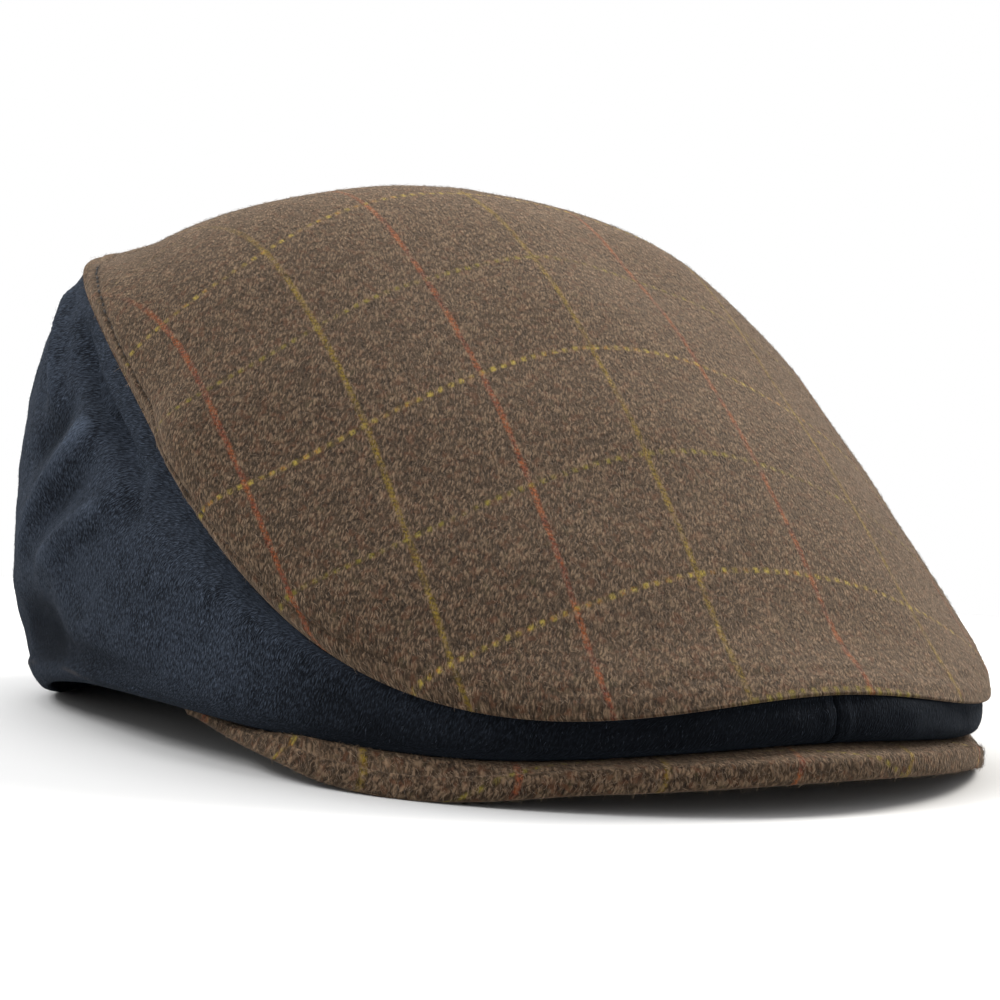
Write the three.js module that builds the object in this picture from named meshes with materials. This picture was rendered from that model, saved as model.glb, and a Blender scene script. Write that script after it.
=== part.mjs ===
// A flat cap: a checked wool top, two napped side panels and a wool-covered peak.
// Millimetres, +Z up. The peak points to -Y and the wearer's right is -X.
// The cap rests on z = 0, on the back of its hem and on the two low corners of its peak.
import * as THREE from "three";

// Driving dimensions
const CLOTH = 2.2; // thickness of the lined walls
const GAP = 0.3; // clearance between pieces that are sewn together
const STATIONS = 88; // steps around the head, a multiple of four
const SMALL_STEP = 1e-3; // for slopes, in levels and in radians
const FLAT_HEM = { from: 1.2, to: 1.9 }; // radians from the centre front where its edge turns flat

// The rings that the body is lofted through, from the hem to near the top of the head.
// half, front and back are the outline's half width and its reach along Y. lag sets the
// widest place behind the middle, and square is 2 for an oval and more for a boxier outline.
// z0 to z180 are the heights at that many degrees from the centre front.
const HEIGHTS = ["z0", "z45", "z90", "z135", "z180"];
const RINGS = table(
  ["half", "front", "back", "lag", "square", ...HEIGHTS],
  {
    hem: [91.5, -72.5, 113.5, 8, 2.2, 17, 10.8, 10.5, 0, 0],
    roll: [98, -118.5, 120, 14, 2.4, 13, 8.8, 19.5, 16.5, 17],
    belly: [96.5, -120, 123, 14, 2.4, 17.4, 20.6, 56, 71.5, 74],
    seam: [91.5, -118, 106, 1, 2.45, 21.6, 18.6, 64.5, 107.5, 107.5],
    shoulder: [95, -104, 98, 0.5, 2.3, 33, 34.5, 77, 109.5, 112],
    upper: [52.5, -41.5, 61, 3.2, 2.1, 91, 97.5, 116.5, 120.5, 124],
  },
);
const CROWN_CENTRE = new THREE.Vector3(0, 12.5, 126);

// Levels count the rings upward: on the side panels 0 is the hem, 1 the roll, 2 the belly
// and 3 the seam, and on the top 0 is the seam, 1 the shoulder, 2 the upper ring and 3 the
// centre of the crown.
const UNDERSIDE_LEVELS = [0, 0.2, 0.4, 0.6, 0.8];
const PANEL_LEVELS = [...UNDERSIDE_LEVELS, 1, 1.25, 1.5, 1.75, 2, 2.25, 2.5, 2.8];
const MARGIN_LEVELS = [0, 0.15, 0.3]; // the panels' seam margin, tucked under the top
const TOP_LEVELS = [...MARGIN_LEVELS, 0.6, 1, 1.35, 1.7, 2, 2.35, 2.7, 3];
const NEAR_SEAM = 2.5; // panel level above which its inner face follows the tucked margin

// Folds of the side panels. Each runs from one place to another, given by its angle from the
// centre front in degrees and its level. It stands out by lift, or sinks in where that is
// negative, and fades out over its width.
const FOLDS = table(
  ["fromAngle", "fromLevel", "toAngle", "toLevel", "lift", "width"],
  {
    pullBesideSeam: [110, 2.78, 90, 2.62, -2.6, 7],
    shortRidgeAtSeam: [86, 2.75, 79, 2.45, 1.2, 6],
    ridgeBelowShoulder: [114, 2.7, 106, 2.1, 1.6, 8],
    longSlantRidge: [93, 2.25, 110, 1.4, 2.4, 8],
    lowSlantRidge: [85, 1.7, 118, 1.15, 1.8, 8],
    hollowAboveHem: [120, 0.95, 84, 0.85, -2.8, 8],
    backHollow: [168, 0.9, 120, 0.95, -1.6, 9],
  },
);

// The peak's outline as a rounded crescent, its edge height above the table, and its board.
const PEAK = {
  reach: -124.4,
  half: 90.5,
  widestAt: -26,
  square: 1.98,
  thickness: 4.8,
  endThickness: 2.4,
  rim: 1.6, // how far the rounded edge reaches in
  turn: 0.25, // how much faster the outline turns than the body's stations, per radian
  lastStation: 17,
  taperFrom: 13, // station where the ends begin to narrow
  endLevel: 0.15, // how far out the narrowed end reaches under the body
  endClearance: 0.9, // how far the narrowed end hangs below the body
};
const PEAK_EDGE = table(
  ["along", "height"],
  {
    centre: [0, 6],
    shoulder: [0.35, 3.6],
    lowCorner: [0.6, 0],
    side: [0.8, 3],
    end: [1, 9.5],
  },
);

const tweed = new THREE.MeshStandardMaterial({ color: 0x786a5b, roughness: 0.95, metalness: 0 });
const suede = new THREE.MeshStandardMaterial({ color: 0x232c3a, roughness: 0.9, metalness: 0 });

function table(columns, rows) {
  const named = {};
  for (const [name, values] of Object.entries(rows)) {
    named[name] = Object.fromEntries(columns.map((column, i) => [column, values[i]]));
  }
  return named;
}

const smoothStep = (low, high, value) => THREE.MathUtils.smoothstep(value, low, high);

// A smooth even curve around the ring through its five heights, cut off at the table.
function heightAround(ring, angle) {
  const last = HEIGHTS.length - 1;
  const share = (i) => (i === 0 || i === last ? 0.5 : 1);
  let height = 0;
  for (let k = 0; k <= last; k++) {
    let weight = 0;
    for (let j = 0; j <= last; j++) {
      weight += share(j) * ring[HEIGHTS[j]] * Math.cos((Math.PI * j * k) / last);
    }
    height += (2 / last) * share(k) * weight * Math.cos(k * angle);
  }
  return Math.max(height, 0);
}

// A rounded outline: sine and cosine of the angle, pushed out towards the corners.
function squared(angle, square) {
  const s = Math.sin(angle);
  const c = Math.cos(angle);
  const scale = (Math.abs(s) ** square + Math.abs(c) ** square) ** (-1 / square);
  return { s: s * scale, c: c * scale };
}

function ringPoint(ring, angle) {
  const { s, c } = squared(angle, ring.square);
  const middle = (ring.back + ring.front) / 2;
  const length = (ring.back - ring.front) / 2;
  return new THREE.Vector3(
    ring.half * s,
    middle - length * c + ring.lag * s * s,
    heightAround(ring, angle),
  );
}

// A smooth curve through points, one level per point, with spans weighted by the square
// root of their length so that it doesn't overshoot where they are short.
function curveThrough(points, level) {
  const span = points.slice(1).map((p, i) => Math.sqrt(p.distanceTo(points[i])));
  const slope = (i) => points[i + 1].clone().sub(points[i]).divideScalar(span[i]);
  const last = points.length - 1;
  const tangent = (i) => {
    if (i === 0) return slope(0).multiplyScalar(2).sub(tangent(1));
    if (i === last) return slope(last - 1).multiplyScalar(2).sub(tangent(last - 1));
    const before = slope(i - 1).multiplyScalar(span[i]);
    return slope(i).multiplyScalar(span[i - 1]).add(before).divideScalar(span[i - 1] + span[i]);
  };
  const i = Math.min(Math.floor(level), last - 1);
  const u = level - i;
  return points[i].clone().multiplyScalar(2 * u ** 3 - 3 * u ** 2 + 1)
    .addScaledVector(tangent(i), (u ** 3 - 2 * u ** 2 + u) * span[i])
    .addScaledVector(points[i + 1], 3 * u ** 2 - 2 * u ** 3)
    .addScaledVector(tangent(i + 1), (u ** 3 - u ** 2) * span[i]);
}

function plainWall(angle, level) {
  const { hem, roll, belly, seam } = RINGS;
  return curveThrough([hem, roll, belly, seam].map((ring) => ringPoint(ring, angle)), level);
}

function top(angle, level) {
  const { seam, shoulder, upper } = RINGS;
  const rings = [seam, shoulder, upper].map((ring) => ringPoint(ring, angle));
  return curveThrough([...rings, CROWN_CENTRE, ringPoint(upper, angle + Math.PI)], level);
}

function normal(surface, angle, level) {
  const low = Math.max(level - SMALL_STEP, 0);
  const around = surface(angle + SMALL_STEP, level).sub(surface(angle - SMALL_STEP, level));
  const up = surface(angle, low + 2 * SMALL_STEP).sub(surface(angle, low));
  return around.cross(up).normalize();
}

const foldLines = Object.values(FOLDS).map((fold) => ({
  ...fold,
  line: new THREE.Line3(
    plainWall(THREE.MathUtils.degToRad(fold.fromAngle), fold.fromLevel),
    plainWall(THREE.MathUtils.degToRad(fold.toAngle), fold.toLevel),
  ),
}));

// How far the folds lift the cloth at a place. Both panels are folded alike.
function foldLift(point) {
  const mirrored = new THREE.Vector3(Math.abs(point.x), point.y, point.z);
  const nearest = new THREE.Vector3();
  let lift = 0;
  for (const { line, width, lift: height } of foldLines) {
    line.closestPointToPoint(mirrored, true, nearest);
    lift += height * Math.exp(-((nearest.distanceTo(mirrored) / width) ** 2));
  }
  return lift;
}

// Moves a point back until it lies a depth behind the plane that faces out at a place.
function keepBehind(point, place, facing, depth) {
  const ahead = point.clone().sub(place).dot(facing) + depth;
  return ahead > 0 ? point.addScaledVector(facing, -ahead) : point;
}

// A point of a side panel's cloth, at a depth below its outer face.
function panelPoint(angle, level, depth) {
  const point = plainWall(angle, level);
  const outward = normal(plainWall, angle, level);
  const fade = smoothStep(0, 0.5, level) * (1 - smoothStep(2.8, 3, level));
  const placed = point.clone().addScaledVector(outward, foldLift(point) * fade - depth);
  if (level === 0) {
    const flatEdge = smoothStep(FLAT_HEM.from, FLAT_HEM.to, Math.abs(angle));
    placed.z = THREE.MathUtils.lerp(placed.z, point.z, flatEdge);
  }
  if (depth > 0 && level >= NEAR_SEAM) {
    keepBehind(placed, top(angle, 0), normal(top, angle, 0), depth);
  }
  return placed;
}

// A point of the panel's seam margin, which carries on under the top.
function marginPoint(angle, level, depth) {
  const placed = top(angle, level).addScaledVector(normal(top, angle, level), -depth);
  return depth > 0 ? keepBehind(placed, top(angle, 0), normal(plainWall, angle, 3), depth) : placed;
}

// A point of the top, which lies over the panels' margin and comes down level behind it.
function topPoint(angle, level, depth) {
  if (level === 3) return CROWN_CENTRE.clone().setZ(CROWN_CENTRE.z - depth);
  const last = MARGIN_LEVELS[MARGIN_LEVELS.length - 1];
  const lift = (CLOTH + GAP) * (1 - smoothStep(last, 1, level));
  return top(angle, level).addScaledVector(normal(top, angle, level), lift - depth);
}

// A closed solid between two grids of points, the outer one facing out with its columns
// counterclockwise and its rows upward. Triangles that have shrunk to a line are left out.
function shell(outer, inner, isRing) {
  const corners = [];
  const triangle = (a, b, c) => {
    if (a.equals(b) || b.equals(c) || c.equals(a)) return;
    corners.push(a, b, c);
  };
  const quad = (a, b, c, d) => {
    triangle(a, b, c);
    triangle(a, c, d);
  };
  const rows = outer.length - 1;
  const columns = outer[0].length;
  const steps = isRing ? columns : columns - 1;
  for (let c = 0; c < steps; c++) {
    const n = (c + 1) % columns;
    for (let r = 0; r < rows; r++) {
      quad(outer[r][c], outer[r][n], outer[r + 1][n], outer[r + 1][c]);
      quad(inner[r][c], inner[r + 1][c], inner[r + 1][n], inner[r][n]);
    }
    quad(inner[0][c], inner[0][n], outer[0][n], outer[0][c]);
    quad(outer[rows][c], outer[rows][n], inner[rows][n], inner[rows][c]);
  }
  if (!isRing) {
    for (let r = 0; r < rows; r++) {
      quad(outer[r][0], outer[r + 1][0], inner[r + 1][0], inner[r][0]);
      quad(inner[r][steps], inner[r + 1][steps], outer[r + 1][steps], outer[r][steps]);
    }
  }
  const geometry = new THREE.BufferGeometry().setFromPoints(corners);
  geometry.computeVertexNormals();
  return geometry;
}

const stationAngle = (station) => (2 * Math.PI * station) / STATIONS;
const stationRange = (first, last) => Array.from({ length: last - first + 1 }, (_, i) => first + i);

function crownTop() {
  const angles = stationRange(0, STATIONS - 1).map(stationAngle);
  const grid = (depth) => TOP_LEVELS.map((level) => angles.map((a) => topPoint(a, level, depth)));
  return shell(grid(0), grid(CLOTH), true);
}

// A side panel runs from the centre front to the centre back. Its margin lies under the top.
function sidePanel(side) {
  const half = STATIONS / 2;
  const stations = side > 0 ? stationRange(0, half) : stationRange(-half, 0);
  const angles = stations.map(stationAngle);
  const apart = (point) => point.setX(point.x + (side * GAP) / 2);
  const grid = (depth) => [
    ...PANEL_LEVELS.map((level) => angles.map((a) => apart(panelPoint(a, level, depth)))),
    ...MARGIN_LEVELS.map((level) => angles.map((a) => apart(marginPoint(a, level, depth)))),
  ];
  return shell(grid(0), grid(CLOTH), false);
}

// Height of the peak's lower edge, by its place along the outline from centre to end.
function peakEdgeHeight(along) {
  const rows = Object.values(PEAK_EDGE);
  const i = Math.min(rows.findLastIndex((row) => row.along <= along), rows.length - 2);
  const slope = (k) => {
    const before = rows[Math.max(k - 1, 0)];
    const after = rows[Math.min(k + 1, rows.length - 1)];
    return k === 0 ? 0 : (after.height - before.height) / (after.along - before.along);
  };
  const span = rows[i + 1].along - rows[i].along;
  const u = Math.min((along - rows[i].along) / span, 1);
  const height =
    rows[i].height * (2 * u ** 3 - 3 * u ** 2 + 1) +
    slope(i) * span * (u ** 3 - 2 * u ** 2 + u) +
    rows[i + 1].height * (3 * u ** 2 - 2 * u ** 3) +
    slope(i + 1) * span * (u ** 3 - u ** 2);
  return Math.max(height, 0);
}

function peakEdge(angle) {
  const turned = angle + PEAK.turn * angle * Math.abs(angle);
  const { s, c } = squared(turned, PEAK.square);
  const along = Math.abs(turned) / (Math.PI / 2);
  return new THREE.Vector3(
    PEAK.half * s,
    PEAK.widestAt + (PEAK.reach - PEAK.widestAt) * c,
    peakEdgeHeight(along),
  );
}

// The peak's section at a station: its top runs close under the body, then out to the rim.
function peakSection(station) {
  const angle = stationAngle(station);
  const full = 1 - smoothStep(PEAK.taperFrom, PEAK.lastStation, Math.abs(station));
  const thickness = THREE.MathUtils.lerp(PEAK.endThickness, PEAK.thickness, full);
  const under = (level) => {
    const narrowed = THREE.MathUtils.lerp(PEAK.endLevel * level, level, full);
    const clearance = THREE.MathUtils.lerp(PEAK.endClearance, GAP, full);
    return panelPoint(angle, narrowed, 0).add(new THREE.Vector3(0, 0, -clearance));
  };
  const end = under(1).add(new THREE.Vector3(0, 0, -thickness));
  const edge = end.lerp(peakEdge(angle), full);
  const covered = UNDERSIDE_LEVELS.map(under);
  const inward = covered[0].clone().sub(edge).setZ(0).normalize();
  const at = (reachIn, height) =>
    edge.clone().addScaledVector(inward, reachIn).setZ(edge.z + height * thickness);
  const rimTop = at(PEAK.rim, 1);
  const lastCovered = covered[covered.length - 1];
  const slope = curveThrough([covered[covered.length - 2], lastCovered, rimTop], 1.5);
  const topFace = [...covered, slope, rimTop];
  const lowered = (point) => {
    const z = Math.max(point.z - thickness, edge.z * (1 - full));
    return point.clone().setZ(z);
  };
  return {
    top: [...topFace, at(0, 0.68)],
    bottom: [...topFace.map(lowered), at(0, 0.3)],
  };
}

function peak() {
  const sections = stationRange(-PEAK.lastStation, PEAK.lastStation).map(peakSection);
  const grid = (face) => sections[0][face].map((_, row) => sections.map((s) => s[face][row]));
  return shell(grid("bottom"), grid("top"), false);
}

function piece(name, geometry, material) {
  const mesh = new THREE.Mesh(geometry, material);
  mesh.name = name;
  return mesh;
}

const cap = new THREE.Group();
cap.add(piece("crown_top", crownTop(), tweed));
cap.add(piece("side_panel_right", sidePanel(-1), suede));
cap.add(piece("side_panel_left", sidePanel(1), suede.clone()));
cap.add(piece("peak", peak(), tweed.clone()));

export default cap;
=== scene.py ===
"""A flat cap: a checked wool top, two napped suede side panels and a wool-covered peak.

Sizes are in millimetres up to the meshes, which are in metres. +Z is up, the peak points to -Y
and the wearer's right is -X. The cap rests on the back of its hem and on its peak's low corners.
"""

import math
from types import SimpleNamespace

import bpy
import numpy as np
from mathutils import Matrix, Vector


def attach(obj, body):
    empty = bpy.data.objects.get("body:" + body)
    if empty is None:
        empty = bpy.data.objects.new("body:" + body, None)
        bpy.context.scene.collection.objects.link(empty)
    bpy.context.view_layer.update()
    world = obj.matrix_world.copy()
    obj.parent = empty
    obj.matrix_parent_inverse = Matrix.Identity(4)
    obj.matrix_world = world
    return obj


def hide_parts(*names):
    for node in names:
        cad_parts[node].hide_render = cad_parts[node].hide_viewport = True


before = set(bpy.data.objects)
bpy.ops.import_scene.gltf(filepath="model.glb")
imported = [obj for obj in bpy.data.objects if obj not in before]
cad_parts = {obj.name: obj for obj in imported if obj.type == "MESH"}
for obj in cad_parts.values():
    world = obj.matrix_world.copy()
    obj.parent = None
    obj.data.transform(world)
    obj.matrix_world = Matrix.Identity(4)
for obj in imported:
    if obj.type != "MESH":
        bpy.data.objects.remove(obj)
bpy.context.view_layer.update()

MM = 0.001
CLOTH = 2.2  # thickness of the lined walls
GAP = 0.3  # clearance between pieces that are sewn together
FRONT_LAP, SIDE_LAP = 1.1, 0.55  # how far the top's edge stands off the panels
LAP_NARROWS = (0.5, 0.95)  # radians from the centre front between those two
SMALL_STEP = 1e-3  # for slopes, in levels and in radians
FLAT_HEM = (1.2, 1.9)  # radians from the centre front where the hem's edge turns flat
FRONT_SHADE_FADES = (0.8, 1.25)  # radians from the centre front over which the front band's painted shade fades out
FRONT_PAINTED_SHADE = 3.1  # how much darker the front band is painted, as shade under the crown's overhang, given as the depth of a fold in mm


def table(columns, rows):
    """Rows of named values, with the same named columns in each."""
    return {name: SimpleNamespace(**dict(zip(columns, row))) for name, row in rows.items()}


# The rings that the body is lofted through, from the hem to near the top of the head.
# half, front and back are the outline's half width and its reach along Y. lag sets the
# widest place behind the middle, and square is 2 for an oval and more for a boxier outline.
# z0 to z180 are the heights at that many degrees from the centre front.
HEIGHTS = ("z0", "z45", "z90", "z135", "z180")
RINGS = table(
    ("half", "front", "back", "lag", "square") + HEIGHTS,
    {
        "hem": (91.5, -72.5, 113.5, 8, 2.2, 17, 10.8, 10.5, 0, 0),
        "roll": (98, -118.5, 120, 14, 2.4, 13.3, 10.8, 20.2, 16.5, 17),
        "belly": (96.5, -120, 123, 14, 2.4, 17.4, 20.6, 56, 71.5, 74),
        "seam": (91.5, -118, 106, 1, 2.45, 21.6, 18.6, 67.5, 107.5, 107.5),
        "shoulder": (95, -104, 98, 0.5, 2.3, 33, 34.5, 77, 109.5, 112),
        "upper": (52.5, -41.5, 61, 3.2, 2.1, 91, 97.5, 116.5, 120.5, 124),
    },
)
CROWN_CENTRE = (0, 12.5, 126)

# Levels count the rings upward: on the side panels 0 is the hem, 1 the roll, 2 the belly
# and 3 the seam, and on the top 0 is the seam, 1 the shoulder, 2 the upper ring and 3 the
# centre of the crown.
SEAM_LEVEL = 3
MARGIN = 0.3  # level of the top that the panels' seam margin reaches, tucked under it
UNDERLAP = 0.25  # how far that margin is pressed in below the seam's level
NEAR_SEAM = 2.5  # panel level above which its inner face follows the tucked margin

# Folds of the side panels, from one place to another, each given by its angle from the
# centre front in degrees and its level. It stands out by lift, or sinks in where that is
# negative, and fades out over its width and towards its ends.
FOLDS = table(
    ("from_angle", "from_level", "to_angle", "to_level", "lift", "width"),
    {
        "ridge_below_shoulder": (121, 2.85, 107, 2.33, 3.0, 3.6),
        "dip_behind_ridge": (116, 2.55, 110, 2.15, -1.6, 4.5),
        "crease_by_seam": (110, 2.84, 98, 2.6, -2.4, 2.4),
        "deep_crease": (104, 2.68, 90, 2.54, -3.8, 2.5),
        "crease_end": (95, 2.58, 84, 2.48, -2.4, 2.6),
        "swell_behind_crease": (98, 2.3, 94, 2.45, 1.0, 5),
        "valley_behind": (101, 2.26, 108, 1.84, -3.0, 4.8),
        "long_slant_ridge": (95, 2.24, 107, 1.5, 3.6, 4.0),
        "valley_between": (92, 1.95, 104, 1.52, -1.9, 3.8),
        "low_slant_ridge": (86, 1.89, 100, 1.4, 3.2, 3.6),
        "short_ridge_at_seam": (84, 2.71, 80, 2.35, 1.4, 3.8),
        "dip_below_seam": (83, 2.26, 80, 1.89, -1.5, 7),
        "swell_by_hollow": (97, 1.4, 94, 1.1, 0.9, 4.5),
        "hollow_above_hem": (112, 1.0, 99, 0.98, -5.4, 8),
        "crease_above_hem": (100, 0.78, 77, 0.92, -1.7, 3.6),
        "full_front_corner": (36, 2.1, 62, 2.1, 1.3, 11),
        "back_hollow": (168, 0.9, 120, 0.95, -1.6, 9),
    },
)
FOLDS_RUN_OUT = 0.14  # how much further they run at both ends, as a share of their length
FOLDS_FADE = 0.65  # how much of the lift is lost by then

PEAK = SimpleNamespace(
    reach=-124.4,
    half=90.5,
    widest_at=-26,
    square=1.98,
    thickness=4.8,
    end_thickness=1.5,
    rim=1.6,  # how far the rounded edge reaches in
    turn=0.25,  # how much faster the outline turns than the body's stations, per radian
    last=1.15,  # angle of the ends, in radians
    taper_from=0.928,  # angle where the ends begin to narrow
    end_level=0.15,  # how far out the narrowed end reaches under the body
    end_clearance=0.6,  # how far the narrowed end hangs below the body
    covered=0.8,  # level of the body that its top runs under
)
PEAK_EDGE = table(
    ("along", "height"),
    {
        "centre": (0, 6),
        "shoulder": (0.35, 3.6),
        "low_corner": (0.6, 0),
        "side": (0.8, 3),
        "end": (1, 9.5),
    },
)

# The windowpane check. across and along place its first lines, measured across from the centre
# line and back from the front seam, and cell gives the distances between lines. On the top, the
# cloth was steamed to shape: its long lines lean outward and straighten up again further back,
# and its cross lines bow back at the sides. On the peak, the cloth lies slanted.
TOP_CHECK = SimpleNamespace(
    across=-108.5, along=33.7, cell=(29.4, 33.0),
    lean=0.2, straighten=7.3, bow=10.7, side_bow=25.8, back_bow=25.8, per=100,
)
PEAK_CHECK = SimpleNamespace(across=-20.4, along=-90.6, cell=(28.4, 30.6), slant=-0.39)

STITCH = SimpleNamespace(
    inset=6.4, pitch=3.4, length=2.1, radius=0.25, groove=0.85, reach=0.6,
    puff=0.25, puff_width=1.8, pucker=0.12, pucker_length=5.5, pucker_width=3.5,
    closed=0.12, opens=(0.6, 1.2),  # along the front, and the angles between which it opens
    sinks=0.6, stands=0.15, bow=0.4, flatness=1.25,
)

# Places where the top has sunk in, each along a line.
SAGS = table(
    ("start", "end", "toward", "depth", "width"),
    {
        "left_temple": ((86, -28, 66), (82, -56, 49), (0.8, -0.35, 0.5), 2.8, 20),
        "left_shoulder": ((96, 0, 72), (70, 62, 109), (0.8, 0.1, 0.6), 4, 14),
        "right_shoulder": ((-96, 0, 72), (-70, 62, 109), (-0.8, 0.1, 0.6), 4, 14),
    },
)
SAGS_START = 0.35  # level of the top where they are at their full depth

# What the cloth was cut to, in metres and square metres.
TOP_CUT = SimpleNamespace(flat=(0.232, 0.266), area=0.048)
PANEL_CUT = SimpleNamespace(flat=(0.121, 0.368), area=0.028)

HEM_BAND = SimpleNamespace(top=0.56, bottom=0.46, thickness=0.9, from_angle=1.1, to_angle=1.45)
CENTRE_SEAM = SimpleNamespace(radius=1.0, depth=0.6, ridge_at=2.6, ridge=0.25, ridge_width=1.0)

EYE = SimpleNamespace(
    azimuth=-33.36, elevation=1.83, roll=2.31, distance=536, aim=(5.7, 9.4, 52.9), lens=80.6
)


def smooth_step(low, high, value):
    u = np.clip((value - low) / (high - low), 0, 1)
    return u * u * (3 - 2 * u)


def unit(vectors):
    return vectors / np.maximum(np.linalg.norm(vectors, axis=-1, keepdims=True), 1e-9)


def hermite(start, end, leave, arrive, u):
    """A cubic between two points, with its slopes at both."""
    return (
        (2 * u**3 - 3 * u**2 + 1) * start
        + (u**3 - 2 * u**2 + u) * leave
        + (3 * u**2 - 2 * u**3) * end
        + (u**3 - u**2) * arrive
    )


def height_around(ring, angle):
    """A smooth even curve around the ring through its five heights, cut off at the table."""
    heights = [getattr(ring, name) for name in HEIGHTS]
    last = len(heights) - 1
    share = [0.5] + [1] * (last - 1) + [0.5]
    height = np.zeros_like(angle)
    for k in range(last + 1):
        weight = sum(
            share[j] * heights[j] * math.cos(math.pi * j * k / last) for j in range(last + 1)
        )
        height += 2 / last * share[k] * weight * np.cos(k * angle)
    return np.maximum(height, 0)


def squared(angle, square):
    """Sine and cosine of the angle, pushed out towards the corners of a rounded outline."""
    s, c = np.sin(angle), np.cos(angle)
    scale = (np.abs(s) ** square + np.abs(c) ** square) ** (-1 / square)
    return s * scale, c * scale


def ring_points(name, angle):
    ring = RINGS[name]
    s, c = squared(angle, ring.square)
    middle, length = (ring.back + ring.front) / 2, (ring.back - ring.front) / 2
    y = middle - length * c + ring.lag * s * s
    return np.stack([ring.half * s, y, height_around(ring, angle)], -1)


def curve_through(points, level):
    """Points on smooth curves through several rows of points, one level per row. Spans are
    weighted by the square root of their length, so that short ones don't overshoot."""
    points = np.stack(points)
    span = np.sqrt(np.linalg.norm(np.diff(points, axis=0), axis=-1))[..., None]
    slope = np.diff(points, axis=0) / span
    tangent = np.empty_like(points)
    both = span[:-1] + span[1:]
    tangent[1:-1] = (slope[1:] * span[:-1] + slope[:-1] * span[1:]) / both
    tangent[0] = 2 * slope[0] - tangent[1]
    tangent[-1] = 2 * slope[-1] - tangent[-2]
    row = np.minimum(np.floor(level).astype(int), len(points) - 2)
    column = np.arange(points.shape[1])
    h = span[row, column]
    leave, arrive = tangent[row, column] * h, tangent[row + 1, column] * h
    u = (level - row)[..., None]
    return hermite(points[row, column], points[row + 1, column], leave, arrive, u)


def bell(distance, width):
    """1 at no distance, fading to almost nothing at twice the width."""
    return np.exp(-((distance / width) ** 2))


def from_line(points, start, end):
    """How far points lie from a line between two places, and how far along it, from 0 to 1."""
    along = end - start
    share = np.clip((points - start) @ along / (along @ along), 0, 1)
    return np.linalg.norm(points - start - share[..., None] * along, axis=-1), share


def plain_wall(angle, level):
    rings = [ring_points(name, angle) for name in ("hem", "roll", "belly", "seam")]
    return curve_through(rings, level)


def top(angle, level):
    rings = [ring_points(name, angle) for name in ("seam", "shoulder", "upper")]
    centre = np.broadcast_to(np.array(CROWN_CENTRE, float), rings[0].shape)
    points = curve_through([*rings, centre, ring_points("upper", angle + math.pi)], level)
    for sag in SAGS.values():
        away, _ = from_line(points, np.array(sag.start), np.array(sag.end))
        sunk = sag.depth * bell(away, sag.width) * smooth_step(0, SAGS_START, level)
        points = points - sunk[..., None] * unit(np.array(sag.toward))
    return points


def normals(surface, angle, level):
    low = np.maximum(level - SMALL_STEP, 0)
    around = surface(angle + SMALL_STEP, level) - surface(angle - SMALL_STEP, level)
    upward = surface(angle, low + 2 * SMALL_STEP) - surface(angle, low)
    return unit(np.cross(around, upward))


def on_grid(function, levels, angles):
    """A function of flat lists of angles and levels, over a grid with a row for each level."""
    level, angle = np.meshgrid(levels, angles, indexing="ij")
    flat = function(angle.ravel(), level.ravel())
    return flat.reshape(level.shape + flat.shape[1:])


def fold_lift(points):
    """How far the folds lift the cloth. Both panels are folded alike."""
    on_left = np.concatenate([np.abs(points[..., :1]), points[..., 1:]], -1)
    lift = np.zeros(points.shape[:-1])
    for fold in FOLDS.values():
        angles = np.radians([fold.from_angle, fold.to_angle])
        start, end = plain_wall(angles, np.array([fold.from_level, fold.to_level], float))
        runs_out = (end - start) * FOLDS_RUN_OUT
        away, share = from_line(on_left, start - runs_out, end + runs_out)
        fade = 1 - FOLDS_FADE * (2 * share - 1) ** 2
        lift += fold.lift * fade * bell(away, fold.width)
    return lift


def waves(points, length, seed):
    """Gentle unevenness between about -1 and 1, from a few crossing waves of about a length."""
    draw = np.random.default_rng(seed)
    total = np.zeros(points.shape[:-1])
    count = 9
    for _ in range(count):
        direction = unit(draw.normal(size=3))
        pitch = length * draw.uniform(0.7, 1.5)
        total += np.sin(points @ direction * 2 * math.pi / pitch + draw.uniform(0, 2 * math.pi))
    return total / math.sqrt(count)


def keep_behind(points, place, facing, depth):
    """Moves points back until they lie a depth behind planes that face out at a place."""
    ahead = np.maximum(np.sum((points - place) * facing, -1, keepdims=True) + depth, 0)
    return points - facing * ahead


def row_lengths(points):
    """How far each row lies from the first one, along the columns."""
    steps = np.linalg.norm(np.diff(points, axis=0), axis=-1)
    return np.concatenate([np.zeros((1, points.shape[1])), np.cumsum(steps, 0)])


def rolled_edge(outer, inner, outward, steps=6):
    """Rows of a half round edge that joins an inner row to an outer one."""
    centre, radius = (outer + inner) / 2, (outer - inner) / 2
    reach = outward * np.linalg.norm(radius, axis=-1, keepdims=True)
    turns = (np.arange(1, steps + 1) / (steps + 1) - 0.5) * math.pi
    return np.stack([centre + radius * math.sin(t) + reach * math.cos(t) for t in turns])


def from_front(angles):
    """How far angles between 0 and a full turn lie from the centre front, on either side."""
    return np.minimum(angles, 2 * math.pi - angles)


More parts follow.
